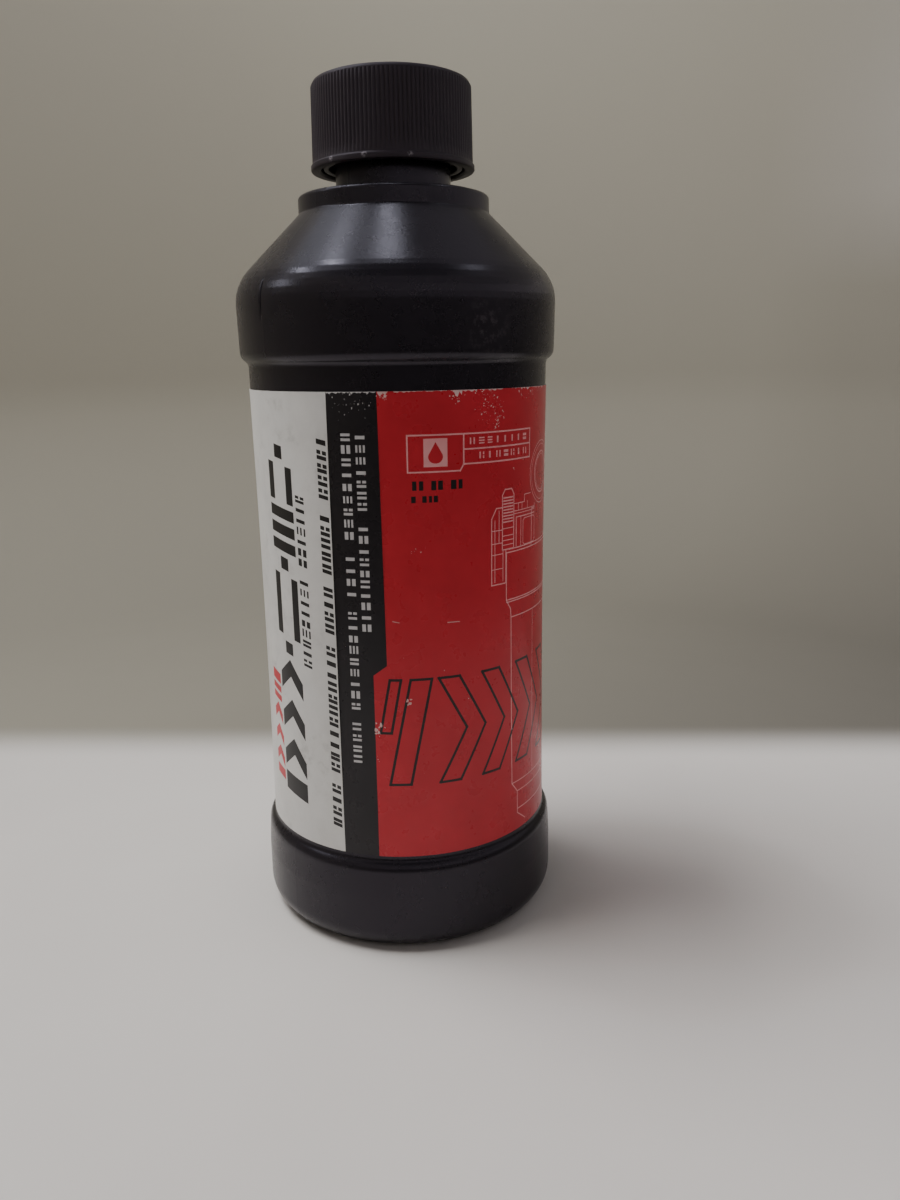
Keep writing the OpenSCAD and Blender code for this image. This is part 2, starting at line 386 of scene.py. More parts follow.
def rib_depth_at(phi):
    """Depth of the grip grooves: crowned ribs with V-shaped grooves between them."""
    part = np.abs((phi * RIBS / 360 + 0.5) % 1 - 0.5)
    crown = 0.12 * (part / 0.2) ** 2
    return RIB_DEPTH * np.where(part < 0.2, crown, crown.clip(0, 0.12)
                                + 0.88 * np.clip((part - 0.2) / 0.3, 0, 1) ** 0.9)


# ---------------- materials

class Shader:
    """A material's node tree, built one node at a time. Sizes are in millimetres."""

    def __init__(self, name, **inputs):
        self.material = bpy.data.materials.new(name)
        self.material.use_nodes = True
        self.tree = self.material.node_tree
        self.surface = self.tree.nodes["Principled BSDF"]
        for key, value in inputs.items():
            self.surface.inputs[key.replace("_", " ")].default_value = value
        self.where = self.add("TexCoord").outputs["Object"]

    def add(self, kind, values=None, **settings):
        node = self.tree.nodes.new("ShaderNode" + kind)
        for key, value in settings.items():
            setattr(node, key, value)
        for key, value in (values or {}).items():
            if isinstance(value, bpy.types.NodeSocket):
                self.tree.links.new(value, node.inputs[key])
            else:
                node.inputs[key].default_value = value
        return node

    def noise(self, size, detail=2.0, rough=0.5, stretch=(1, 1, 1), shift=0.0):
        """Noise whose features are about size millimetres across."""
        place = self.add("Mapping", {"Vector": self.where, "Scale": stretch,
                                     "Location": (shift, shift * 0.7, shift * 1.3)})
        return self.add("TexNoise", {"Vector": place.outputs[0], "Scale": 1 / (size * MM),
                                     "Detail": detail, "Roughness": rough}).outputs[0]

    def cells(self, size):
        """Distance from the middles of cells about size millimetres across."""
        return self.add("TexVoronoi", {"Vector": self.where,
                                       "Scale": 1 / (size * MM)}).outputs["Distance"]

    def ramp(self, value, low, high, to_low=0.0, to_high=1.0):
        """value from low..high to to_low..to_high, clamped."""
        return self.add("MapRange", {0: value, 1: low, 2: high, 3: to_low, 4: to_high}).outputs[0]

    def maths(self, operation, a, b=0.0):
        return self.add("Math", {0: a, 1: b}, operation=operation).outputs[0]

    def along(self, way):
        """The place's product with way, in metres."""
        return self.add("VectorMath", {0: self.where, 1: way},
                        operation="DOT_PRODUCT").outputs["Value"]

    def patch(self, phi, r, z, reach):
        """1 at one place on the object, falling to 0 at reach millimetres from it."""
        a = math.radians(phi)
        centre = (r * math.sin(a) * MM, -r * math.cos(a) * MM, z * MM)
        away = self.add("VectorMath", {0: self.where, 1: centre}, operation="DISTANCE")
        return self.ramp(away.outputs["Value"], 0.0, reach * MM, 1.0, 0.0)

    def mix(self, share, a, b):
        """Colour a where share is 0, and b where it is 1."""
        a, b = (c if isinstance(c, bpy.types.NodeSocket) else (*c, 1.0) for c in (a, b))
        return self.add("Mix", {0: share, 6: a, 7: b}, data_type="RGBA").outputs[2]

    def bump(self, height, depth, strength=1.0, under=None):
        """Bump of depth millimetres, added to an earlier bump's normal."""
        values = {"Height": height, "Distance": depth * MM, "Strength": strength}
        if under is not None:
            values["Normal"] = under
        return self.add("Bump", values).outputs[0]

    def set(self, **sockets):
        """Links the sockets to the surface's inputs, and gives the material."""
        for key, socket in sockets.items():
            self.tree.links.new(socket, self.surface.inputs[key.replace("_", " ")])
        return self.material


def hairlines(shader, size, stretch, cut, shift=0.0):
    """Fine scratches: the narrow ridge lines of a stretched noise, 1 in a scratch."""
    wander = shader.noise(size, 2.0, 0.6, stretch, shift)
    ridge = shader.maths("ABSOLUTE", shader.maths("SUBTRACT", wander, 0.5))
    line = shader.ramp(ridge, 0.0, cut, 1.0, 0.0)
    where = shader.ramp(shader.noise(size * 1.7, 1.0, 0.5, (1, 1, 1), shift + 3), 0.52, 0.66)
    return shader.maths("MULTIPLY", line, where)


def bottle_plastic():
    """Blown black plastic: orange-peel grain, faint dull smears, dust and a few scratches."""
    s = Shader("bottle_plastic", Specular_IOR_Level=0.44, Specular_Tint=(0.92, 0.85, 1.0, 1))
    smear = s.ramp(s.noise(20, 3, 0.5, (1, 1, 0.7)), 0.35, 0.75)
    dust = s.ramp(s.noise(0.8, 5, 0.75, shift=0.4), 0.67, 0.78)
    dusty = s.maths("MULTIPLY", dust, s.ramp(s.noise(22, 2, 0.5, shift=1.7), 0.5, 0.8))
    scuff = s.maths("MULTIPLY", s.patch(31, DRUM_R, 137.0, 7.5),
                    s.ramp(s.noise(1.7, 5, 0.8, shift=0.2), 0.50, 0.62))
    scratch = hairlines(s, 9, (1, 1, 0.35), 0.004, 0.9)
    colour = s.mix(smear, (0.0082, 0.0068, 0.0090), (0.0108, 0.0092, 0.0120))
    colour = s.mix(s.maths("MULTIPLY", dusty, 0.15), colour, (0.10, 0.09, 0.10))
    colour = s.mix(s.maths("MULTIPLY", scratch, 0.3), colour, (0.06, 0.055, 0.065))
    colour = s.mix(s.maths("MULTIPLY", scuff, 0.3), colour, (0.15, 0.125, 0.135))
    rough = s.maths("ADD", s.ramp(smear, 0, 1, 0.245, 0.315), s.ramp(scuff, 0, 1, 0, 0.2))
    rough = s.maths("ADD", rough, s.ramp(s.noise(2.4, 3, 0.6), 0.3, 0.7, -0.015, 0.02))
    normal = s.bump(s.noise(0.4, 2, 0.5), 0.012, 1.0)
    normal = s.bump(s.noise(1.0, 2, 0.6, (1, 1, 0.7), 1.3), 0.016, 1.0, normal)
    normal = s.bump(s.noise(4.5, 2, 0.5, shift=2.2), 0.03, 0.5, normal)
    normal = s.bump(scratch, 0.006, 0.4, normal)
    return s.set(Base_Color=colour, Roughness=rough, Normal=normal)


def cap_plastic(name, low, high, rough0, rough1, glint_spots=()):
    """Moulded black plastic, finer and duller than the bottle's, with painted glints: pale broken
    spots at the given places on the lip's burrs, partly whitened plastic.
    """
    s = Shader(name, Specular_IOR_Level=0.42, Specular_Tint=(0.97, 0.90, 1.0, 1))
    cloud = s.ramp(s.noise(7, 4, 0.6), 0.35, 0.7)
    dust = s.ramp(s.noise(0.6, 4, 0.7, shift=0.6), 0.62, 0.76)
    dusty = s.maths("MULTIPLY", dust, s.ramp(s.noise(9, 2, 0.5, shift=1.1), 0.4, 0.7))
    colour = s.mix(cloud, low, high)
    colour = s.mix(s.maths("MULTIPLY", dusty, 0.2), colour, (0.10, 0.09, 0.10))
    # Painted highlights: pale spots on the lip's burrs stand in for glints, partly as whitened
    # plastic.
    for phi, height in glint_spots:
        spot = s.patch(phi, CAP_R, CAP_BOTTOM_Z + height, 0.75)
        broken = s.ramp(s.noise(0.5, 3, 0.6, shift=phi * 0.01), 0.40, 0.62)
        colour = s.mix(s.maths("MULTIPLY", spot, broken), colour, (0.36, 0.33, 0.36))
    rough = s.maths("ADD", s.ramp(cloud, 0, 1, rough0, rough1), s.ramp(dusty, 0, 1, 0, 0.1))
    normal = s.bump(s.noise(0.25, 3, 0.6), 0.010, 0.8)
    normal = s.bump(s.noise(3.5, 2, 0.5, shift=0.8), 0.012, 0.4, normal)
    return s.set(Base_Color=colour, Roughness=rough, Normal=normal)


def film_ink(name, low, high, scuff, scuff_share, rough, dirt=0.012):
    """One ink of the label, on the same film: mottle, rubbed specks, gentle unevenness."""
    s = Shader(name, Specular_IOR_Level=0.36)
    mottle = s.ramp(s.noise(11, 4, 0.6), 0.3, 0.7)
    grain = s.noise(0.7, 2, 0.5, shift=0.3)
    speck = s.ramp(s.noise(0.8, 5, 0.8, shift=2.0), 0.66, 0.74)
    rubbed = s.maths("MULTIPLY", speck, s.ramp(s.noise(13, 3, 0.6, shift=0.9), 0.5, 0.75))
    grime = s.maths("MULTIPLY", s.ramp(s.noise(3.2, 5, 0.7, shift=3.1), 0.5, 0.75),
                    s.ramp(s.noise(17, 2, 0.5, shift=4.0), 0.45, 0.7))
    colour = s.mix(mottle, low, high)
    colour = s.mix(s.maths("MULTIPLY", grime, dirt), colour, (0.17, 0.16, 0.15))
    colour = s.mix(s.maths("MULTIPLY", rubbed, scuff_share), colour, scuff)
    rough_noise = s.ramp(s.noise(5, 3, 0.6, shift=1.9), 0.3, 0.7, rough - 0.02, rough + 0.03)
    rough_all = s.maths("ADD", rough_noise, s.maths("MULTIPLY", rubbed, 0.05))
    normal = s.bump(grain, 0.003, 0.5)
    normal = s.bump(s.noise(9, 2, 0.5, (1, 1, 0.6), 0.5), 0.06, 0.5, normal)
    return s.set(Base_Color=colour, Roughness=rough_all, Normal=normal)


def fluid_material():
    """Clear amber fluid with a faint clouding."""
    s = Shader("suspension_fluid", IOR=1.47, Transmission_Weight=0.8, Specular_IOR_Level=0.5)
    cloud = s.ramp(s.noise(14, 3, 0.5), 0.3, 0.7)
    colour = s.mix(cloud, (0.62, 0.20, 0.035), (0.75, 0.30, 0.06))
    rough = s.ramp(s.noise(6, 2, 0.5, shift=0.5), 0.3, 0.7, 0.03, 0.08)
    normal = s.bump(s.noise(8, 2, 0.5, shift=0.2), 0.02, 0.4)
    return s.set(Base_Color=colour, Roughness=rough, Normal=normal)


def liner_material():
    """Closed-cell foam wad: fine cells and slight yellowing."""
    s = Shader("liner_foam", Specular_IOR_Level=0.3)
    cloud = s.ramp(s.noise(5, 4, 0.6), 0.3, 0.7)
    colour = s.mix(cloud, (0.74, 0.72, 0.66), (0.82, 0.81, 0.77))
    rough = s.ramp(s.noise(2, 2, 0.5), 0.3, 0.7, 0.62, 0.75)
    normal = s.bump(s.cells(0.45), 0.05, 0.7)
    return s.set(Base_Color=colour, Roughness=rough, Normal=normal)


def stage_paint():
    """Pale floor with a very faint mottle, and a wall graded by place on it.

    The grading is painted light and shade standing for the mirrored room: a dark front wall with a
    painted band of light, painted shade towards the right and at the upper right, and a darker
    foot."""
    s = Shader("floor_paint", Specular_IOR_Level=0.2)
    cloud = s.ramp(s.noise(60, 3, 0.5), 0.3, 0.7)
    floor = s.mix(cloud, (0.67, 0.640, 0.615), (0.70, 0.668, 0.642))
    place = s.add("SeparateXYZ", {0: s.where})
    behind = s.ramp(s.along((-0.6, 0.8, 0)), -0.30, 0.15)
    height = place.outputs["Z"]
    # Painted light and shade on the front wall: dark all over, with a painted band of light that
    # the collar and cap mirror.
    band = s.maths("MULTIPLY", s.ramp(height, 0.165, 0.215), s.ramp(height, 0.25, 0.34, 1.0, 0.35))
    front = s.mix(band, (0.09, 0.085, 0.08), (0.58, 0.55, 0.58))
    # Painted shade: the back wall is darker towards the right, and darker still at its upper
    # right.
    right = s.ramp(place.outputs["X"], -0.3, 0.25)
    back = s.mix(right, (0.53, 0.50, 0.42), (0.285, 0.265, 0.220))
    shade = s.maths("MULTIPLY", right, s.ramp(height, 0.34, 0.46, 0.0, 0.7))
    back = s.mix(shade, back, (0.06, 0.057, 0.057))
    # Darker towards the bottom of the wall, and on the floor that is painted as wall.
    back = s.mix(s.ramp(height, 0.0, 0.10, 0.38, 0.0), back, (0.02, 0.018, 0.015))
    wall = s.mix(behind, front, back)
    across = s.add("VectorMath", {0: s.where, 1: (1, 1, 0)}, operation="MULTIPLY")
    away = s.add("VectorMath", {0: across.outputs[0]}, operation="LENGTH").outputs["Value"]
    away = s.maths("MAXIMUM", away, s.along((0.24, 2.9, 0)))
    colour = s.mix(s.add("MapRange", {0: away, 1: 0.21, 2: 0.30},
                         interpolation_type="SMOOTHSTEP").outputs[0], floor, wall)
    rough = s.ramp(s.noise(30, 2, 0.5), 0.3, 0.7, 0.82, 0.9)
    return s.set(Base_Color=colour, Roughness=rough)


# ---------------- label artwork

INKS = ["film", "black", "red", "dark", "pale", "pink", "mark_red", "worn"]


class Art:
    """Flat polygons painted in order on the unrolled label: u round the front, z up."""

    def __init__(self):
        self.shapes = []

    def poly(self, ink, points):
        """A filled polygon. Its long edges are split, because the label is wrapped later."""
        out = []
        for (u0, z0), (u1, z1) in zip(points, [*points[1:], points[0]]):
            parts = max(1, math.ceil(abs(u1 - u0) / LABEL_STEP))
            out += [(u0 + (u1 - u0) * k / parts, z0 + (z1 - z0) * k / parts)
                    for k in range(parts)]
        self.shapes.append((ink, out))

    def box(self, ink, u0, z0, u1, z1):
        self.poly(ink, [(u0, z0), (u1, z0), (u1, z1), (u0, z1)])

    def line(self, ink, points, width, closed=False):
        """A stroke through the points, one thin box to each run."""
        ends = points[1:] + points[:1] if closed else points[1:]
        for (u0, z0), (u1, z1) in zip(points, ends):
            length = math.hypot(u1 - u0, z1 - z0)
            du, dz = (u1 - u0) / length * width / 2, (z1 - z0) / length * width / 2
            self.poly(ink, [(u0 - du + dz, z0 - dz - du), (u1 + du + dz, z1 + dz - du),
                            (u1 + du - dz, z1 + dz + du), (u0 - du - dz, z0 - dz + du)])

    def draw(self, points, width=0.25, closed=False):
        """A stroke of the pale line drawing."""
        self.line("pink", points, width, closed)

    def rungs(self, heights, u0, u1, width):
        """Level strokes of the line drawing, from u0 to u1 at each of the heights."""
        for z in heights:
            self.draw([(u0, z), (u1, z)], width)


def tick(kind, wide, size, bar):
    """Boxes of one type-like tick: p a pair, t a triple, s a stack, g a gapped pair, b a bar."""
    if kind == "p":
        return [(0, 0, bar, size), (wide - bar, 0, wide, size)]
    if kind == "t":
        thin = bar * 0.8
        return [(0, y, wide, y + thin) for y in (0, (size - thin) / 2, size - thin)]
    if kind == "s":
        return [(0, 0, wide, size * 0.40), (0, size * 0.60, wide, size)]
    if kind == "g":
        return [(0, 0, bar, size), (wide - bar, 0, wide, size * 0.42),
                (wide - bar, size * 0.58, wide, size)]
    return [(wide * 0.2, 0, wide * 0.2 + bar * 1.3, size)]


def greek(art, ink, place, size, words, pitch, slant, rng, weight=0.3, narrow=0.74,
          kinds="ptsgb"):
    """A row of abstract type-like ticks that spells nothing.

    place(s, h) puts a point s along the row and h up from its base line. words holds how
    many ticks stand in each group."""
    s = 0.0
    for word in words:
        for _ in range(word):
            wide = pitch * narrow * rng.uniform(0.85, 1.05)
            kind = kinds[rng.integers(0, len(kinds))]
            for x0, y0, x1, y1 in tick(kind, wide, size, size * weight):
                corners = [(x0, y0), (x1, y0), (x1, y1), (x0, y1)]
                art.poly(ink, [place(s + x + slant * y, y) for x, y in corners])
            s += pitch
        s += pitch * 0.9


def climbing(u, z):
    """Rows that read upwards, their tops to the left."""
    return lambda s, h: (u - h, z + s)


def level(u, z):
    """Rows that read to the right."""
    return lambda s, h: (u + s, z + h)


def speed_mark(art, ink, place, size, stroke, parts, slant):
    """A row of slanted bars, rails, dots and chevrons: a made-up device, not a word."""
    s = 0.0
    for kind, wide in parts:
        def put(points, s=s):
            art.poly(ink, [place(s + x + slant * y, y) for x, y in points])

        if kind == "bar":
            put([(0, 0), (wide, 0), (wide, size), (0, size)])
        elif kind == "rails":
            for y in (0.0, size - stroke):
                put([(0, y), (wide, y), (wide, y + stroke), (0, y + stroke)])
        elif kind == "dot":
            low = (size - wide) / 2
            put([(0, low), (wide, low), (wide, low + wide), (0, low + wide)])
        elif kind == "chevron":
            tip, back = wide - stroke * 1.9, stroke * 1.9
            put([(0, 0), (back, 0), (wide, size / 2), (back, size), (0, size),
                 (tip, size / 2)])
        s += wide + stroke * 0.6


def panels(art):
    """The label's fields of colour. The first shape is the whole film."""
    edge = LABEL_EDGE
    art.box("film", -edge, LABEL_Z0, edge, LABEL_Z1)
    art.poly("red", [(-7.1, LABEL_Z0), (RED_END, LABEL_Z0), (RED_END, LABEL_Z1),
                     (-4.5, LABEL_Z1), (-4.1, 68), (-7.1, 65.8)])
    art.poly("black", [(-15.2, LABEL_Z0), (-7.1, LABEL_Z0), (-7.1, 65.8), (-4.1, 68),
                       (-4.5, LABEL_Z1), (-15.2, LABEL_Z1)])
    art.box("black", RED_END, LABEL_Z0, RED_END + 4, LABEL_Z1)


def mark_column(art, rng):
    """The large dark device and the small rows on the white panel."""
    speed_mark(art, "dark", climbing(-25.5, 32.5), 8.5, 2.1,
               [("bar", 4.6), *[("chevron", 8.2)] * 3, ("dot", 2.8), ("rails", 14.0),
                ("dot", 2.8), *[("bar", 2.4)] * 3, ("rails", 8.0), ("dot", 2.8)], 0.18)
    greek(art, "dark", climbing(-22.2, 65.5), 2.5, [9, 7], 2.28, 0.2, rng, 0.24)
    speed_mark(art, "mark_red", climbing(-34.7, 35.5), 4.4, 1.25,
               [("bar", 2.4), *[("chevron", 4.6)] * 3, *[("bar", 1.5)] * 2, ("bar", 2.4)], 0.2)
    greek(art, "dark", climbing(-15.75, 29.1), 2.3, [4, 11, 4, 5, 5], 2.68, 0.22, rng, 0.36,
          0.8, "pgb")


def band_rows(art, rng):
    """Two pale rows on the black band."""
    greek(art, "pale", climbing(-10.3, 45.5), 2.0, [4, 9, 4, 9], 2.52, 0.0, rng, 0.27, 0.66)
    greek(art, "pale", climbing(-7.2, 75.5), 2.0, [10, 7], 2.36, 0.0, rng, 0.27, 0.68)


def badge(art, rng):
    """Outlined badge with a drop for an emblem."""
    low, split, high, width = 110.2, 113.2, 116.3, 0.32
    art.draw([(1.3, 108.9), (12.4, 108.9), (13.2, low), (33, low), (33, high), (1.3, high)],
             width, closed=True)
    art.draw([(13.2, low), (13.2, high)], width)
    art.draw([(13.2, split), (33, split)], width)
    art.box("pink", 4.6, 109.9, 9.6, 115.6)
    drop = [(7.1 + 1.55 * math.cos(t), 111.9 + 1.35 * math.sin(t))
            for t in np.radians(np.arange(-215, 36, 12))]
    art.poly("red", [*drop, (7.1, 114.9)])
    greek(art, "pink", level(14.6, 114.1), 1.35, [8], 2.2, 0.0, rng, 0.26, 0.6)
    greek(art, "pink", level(16.9, 111.1), 1.35, [7], 2.2, 0.0, rng, 0.26, 0.6)


def small_rows(art, rng):
    """Two short dark rows under the badge."""
    greek(art, "dark", level(1.9, 105.2), 1.9, [2, 2, 2], 1.45, 0.0, rng, 0.36, 0.8, "pb")
    greek(art, "dark", level(1.9, 102.7), 1.35, [1, 3], 1.2, 0.0, rng, 0.36, 0.8, "pb")


def outlined_figures(art):
    """Large outlined figures: two slanted bars and a row of arrows."""
    low, high, width = 40.7, 64.8, 0.58
    art.line("dark", [(-4.1, low), (0.5, low), (5.5, high), (0.9, high)], width, closed=True)
    middle = (low + high) / 2
    art.line("dark", [(-5.9, middle), (-3.5, middle), (-1.2, high), (-3.6, high)], width,
             closed=True)
    for u in (7.0, 17.4, 27.8, 38.2):
        art.line("dark", [(u, low), (u + 4.8, low), (u + 11.2, middle), (u + 4.8, high),
                          (u, high), (u + 6.4, middle)], width, closed=True)


def damper_drawing(art, thin=0.175):
    """Thin pale outline of a plain upright damper, made up for this label."""
    axis, eye = 40.5, 106.2
    for radius, width in ((7.0, thin), (6.2, 0.125), (4.6, 0.3), (4.0, 0.15)):
        ring = [2 * math.pi * k / 28 for k in range(28)]
        art.draw([(axis + radius * math.cos(t), eye + radius * math.sin(t)) for t in ring],
                 width, closed=True)
    body = [(4.5, 99.6), (4.5, 98.7), (6.0, 98.7), (6.0, 90.2), (16.0, 90.2), (16.0, 79.6),
            (14.6, 77.5), (14.4, 75.5), (14.2, 35.5), (12.2, 33.0), (12.2, 27.5), (9.0, 25.0)]
    for side in (-1, 1):
        art.draw([(axis + side * x, z) for x, z in body])
    for z, reach in ((90.2, 16.0), (90.9, 15.2), (79.6, 16.0), (79.1, 15.9), (75.5, 14.4),
                     (35.5, 14.2), (33.0, 12.2), (28.5, 12.2)):
        art.draw([(axis - reach, z), (axis + reach, z)])
    art.draw([(axis - 5.0, 35.5), (axis - 5.0, 75.5)], thin)
    adjuster(art, thin)
    block(art, thin)


def adjuster(art, thin):
    """A plain threaded stem in a plain bracket, left of the drawing's body."""
    art.draw([(23.2, 91.0), (26.9, 91.0), (26.9, 102.8), (26.1, 104.0), (24.0, 104.0),
              (23.2, 102.8)], closed=True)
    art.rungs([97.0 + k * 0.65 for k in range(9)], 23.6, 26.5, 0.3)
    art.rungs((92.0, 93.0, 94.0, 95.6), 23.2, 26.9, thin)
    art.draw([(20.1, 83.6), (24.3, 83.6), (24.3, 90.2), (24.3, 91.0)])
    art.draw([(20.1, 83.6), (20.1, 98.0), (21.4, 100.2), (23.2, 100.2)])
    for u, z0, z1 in ((21.0, 84.2, 97.6), (23.4, 84.2, 91.0), (22.2, 92.6, 99.6)):
        art.draw([(u, z0), (u, z1)], thin)
    art.rungs((87.0, 90.2, 92.6, 95.4), 20.1, 23.2, thin)


def block(art, thin):
    """A plain stepped block with a rounded window, right of the stem."""
    art.draw([(26.9, 100.6), (31.0, 100.6), (31.0, 102.2), (33.8, 102.2)], thin)
    art.rungs((98.4, 99.0), 26.9, 36.0, thin)
    art.draw([(27.8, 90.9), (27.8, 97.6), (36.0, 97.6)])
    art.draw([(29.6, 90.9), (29.6, 97.6)], thin)
    art.draw([(30.5, 91.6), (31.1, 91.1), (35.5, 91.1), (36.1, 91.6), (36.1, 96.5),
              (35.5, 97.0), (31.1, 97.0), (30.5, 96.5)], thin, closed=True)
    for u in (28.6, 30.0, 32.4):
        art.draw([(u, 99.0), (u, 100.6)], thin)


def back_panel(art, rng):
    """Plain rows of greeked copy on the unseen back, either side of the join."""
    for side, first in ((-1, -LABEL_EDGE + 5), (1, RED_END + 9)):
        wide = LABEL_EDGE - RED_END - 14 if side > 0 else 34
        art.box("black", first, 116.5, first + wide, 119.0)
        for row in range(22):
            z = 111.0 - row * 3.4 - (row // 6) * 2.6
            u, end = first, first + wide * (0.55 if row % 6 == 5 else rng.uniform(0.9, 1.0))
            while u < end - 1.5:
                long = min(rng.uniform(1.6, 6.5), end - u)
                art.box("dark", u, z, u + long, z + 1.15)
                u += long + 0.9


def flecks(art, ink, rng, count, centre, spread, size):
    """Small ragged patches of rubbed-off ink: many tiny ones and a few larger."""
    for _ in range(count):
        u, z = (rng.normal(c, s) for c, s in zip(centre, spread))
        reach = size * (0.25 + 0.75 * rng.uniform() ** 3)
        z = min(z, LABEL_Z1 - 0.02)
        long = rng.uniform(0.6, 1.6)
        corners = []
        for t in np.radians(np.arange(0, 360, 45)):
            out = reach * rng.uniform(0.35, 1.2)
            corners.append((u + out * math.cos(t),
                            min(z + out * long * math.sin(t), LABEL_Z1 - 0.01)))
        art.poly(ink, corners)


def chipped_edge(art, ink, rng, u0, u1, depth):
    """A ragged strip of lost ink along the label's top edge."""
    count = max(4, int((u1 - u0) / 0.35))
    us = np.linspace(u0, u1, count)
    low = [LABEL_Z1 - 0.02 - depth * rng.uniform(0.05, 1.0) ** 2 for _ in us]
    top = LABEL_Z1 - 0.005
    art.poly(ink, [(u0 - 0.2, top), *zip(us, low), (u1 + 0.2, top)])


def wear(art, rng):
    """Rubbed patches along the red panel's top edge, and scattered spots."""
    top = LABEL_Z1
    chipped_edge(art, "pale", rng, -15.0, -4.8, 0.5)
    flecks(art, "pale", rng, 30, (-10.5, top - 2.2), (2.4, 1.5), 0.22)
    for u0, u1, depth in ((-4.2, -2.4, 1.0), (-1.0, 9.5, 0.25),
                          (10.6, 12.8, 2.2), (12.9, 16.2, 0.9), (17.5, 23.0, 0.35),
                          (26.0, 41.0, 0.5), (48.0, 60.0, 0.4)):
        chipped_edge(art, "worn", rng, u0, u1, depth)
    for count, centre, spread, size in (
            (12, (-3.4, top - 0.8), (0.7, 0.6), 0.34),
            (12, (12.2, top - 1.1), (1.0, 0.7), 0.35),
            (80, (19.6, top - 3.6), (1.7, 2.8), 0.22),
            (14, (21.5, top - 6.0), (0.5, 1.6), 0.25),
            (24, (35.0, top - 0.9), (3.5, 0.6), 0.25),
            (16, (-6.4, 53.5), (0.45, 0.8), 0.45),
            (7, (0.5, 59.8), (0.45, 0.4), 0.6),
            (2, (26.5, 108.3), (0.3, 0.2), 0.45),
            (3, (-6.8, 47.2), (0.2, 0.4), 0.2),
            (6, (2.8, 93.0), (0.9, 0.6), 0.2),
            (26, (20.0, 80.0), (24.0, 30.0), 0.14),
            (14, (-10.5, 75.0), (2.5, 30.0), 0.13)):
        flecks(art, "worn", rng, count, centre, spread, size)
    art.line("worn", [(9.2, 77.0), (11.9, 76.9)], 0.16)
    art.line("worn", [(-2.6, 77.8), (-1.2, 77.5)], 0.14)


def draw_label():
    """All of the label's artwork."""
    rng = np.random.default_rng(7)
    art = Art()
    panels(art)
    mark_column(art, rng)
    band_rows(art, rng)
    badge(art, rng)
    small_rows(art, rng)
    damper_drawing(art)
    outlined_figures(art)
    back_panel(art, rng)
    wear(art, rng)
    return art


def cut_artwork(art):
    """Triangles of the unrolled label and the ink of each, cut along every painted edge."""
    coords, faces = [], []
    for _, points in art.shapes:
        faces.append(list(range(len(coords), len(coords) + len(points))))
        coords += [Vector(p) for p in points]
    for u in np.arange(-LABEL_EDGE + LABEL_STEP, LABEL_EDGE - 0.5, LABEL_STEP):
        coords += [Vector((u, z)) for z in np.arange(LABEL_Z0 + 2.9, LABEL_Z1 - 0.5, 3.1)]
    found = delaunay_2d_cdt(coords, [], faces, 1, 1e-5)
    verts, triangles, owners = found[0], found[2], found[5]
    inks = [INKS.index(art.shapes[max(owner)][0]) if owner else 0 for owner in owners]
    return np.array([tuple(v) for v in verts]), [list(t) for t in triangles], inks


def label_point(u, z, out):
    """Points of the unrolled label wrapped round the panel, and their outward normals."""
    wall, above = (sink(np.stack([np.full(len(z), PANEL_R), h], 1))[:, 0]
                   for h in (z, z + 0.1))
    radius, slope = wall + out, (above - wall) / 0.1
    a = u / PANEL_R
    point = np.stack([radius * np.sin(a), -radius * np.cos(a), z], 1)
    normal = np.stack([np.sin(a), -np.cos(a), -slope], 1)
    return point, normal / np.linalg.norm(normal, axis=1)[:, None]


def make_label(materials):
    """The printed film: a thin closed sheet cut along its artwork."""
    flat, triangles, inks = cut_artwork(draw_label())
    outer, normal = label_point(flat[:, 0], flat[:, 1], LABEL_CLEAR + LABEL_THICK)
    inner, _ = label_point(flat[:, 0], flat[:, 1], LABEL_CLEAR)
    count = len(flat)
    edges = {(t[k], t[(k + 1) % 3]) for t in triangles for k in range(3)}
    rim = sorted((a, b) for a, b in edges if (b, a) not in edges)
    back = [[v + count for v in reversed(t)] for t in triangles]
    side = [[b, a, a + count, b + count] for a, b in rim]
    label = new_piece("label_sheet", np.concatenate([outer, inner]), triangles + back + side,
                      materials, "bottle_body", "label", None,
                      inks + [0] * (len(back) + len(side)))
    shade = np.concatenate([normal, -normal])
    loops = [shade[v] for t in triangles + back for v in t]
    for a, b in rim:
        run = outer[b] - outer[a]
        face = np.cross(run, normal[a])
        loops += [face / (np.linalg.norm(face) or 1)] * 4
    label.data.normals_split_custom_set([tuple(n) for n in loops])
    return label


# ---------------- the pieces

def make_bottle(material):
    clusters = [p + d for p in PARTING for d in (-1.1, -0.75, -0.5, -0.3, -0.15, 0.15, 0.3, 0.5)]
    outside = body_corners() + [(NECK_R, LIP_Z, LIP_EDGE), (BORE_R, LIP_Z, 0.3)]
    inside = inset(body_corners(), WALL)
    inside[-1] = (BORE_R, COLLAR_TOP_Z - WALL, 0.5)
    path = rounded(outside + inside[::-1], 4.0, 8.0,
                   [(THREAD_Z - 1.4, LIP_Z - 0.9, 0.14), (137, 149, 0.9),
                    (COLLAR_TOP_Z, THREAD_Z - 1.3, 0.6), (131, 163, 2.0), (3, 22, 2.0)])
    path = sink(path)
    phis = columns(180, clusters)
    verts, faces = turned(path, phis, bottle_relief, thin_near_axis(path, HEEL_R))
    return new_piece("bottle_shell", verts, faces, [material], "bottle_body", "bottle")


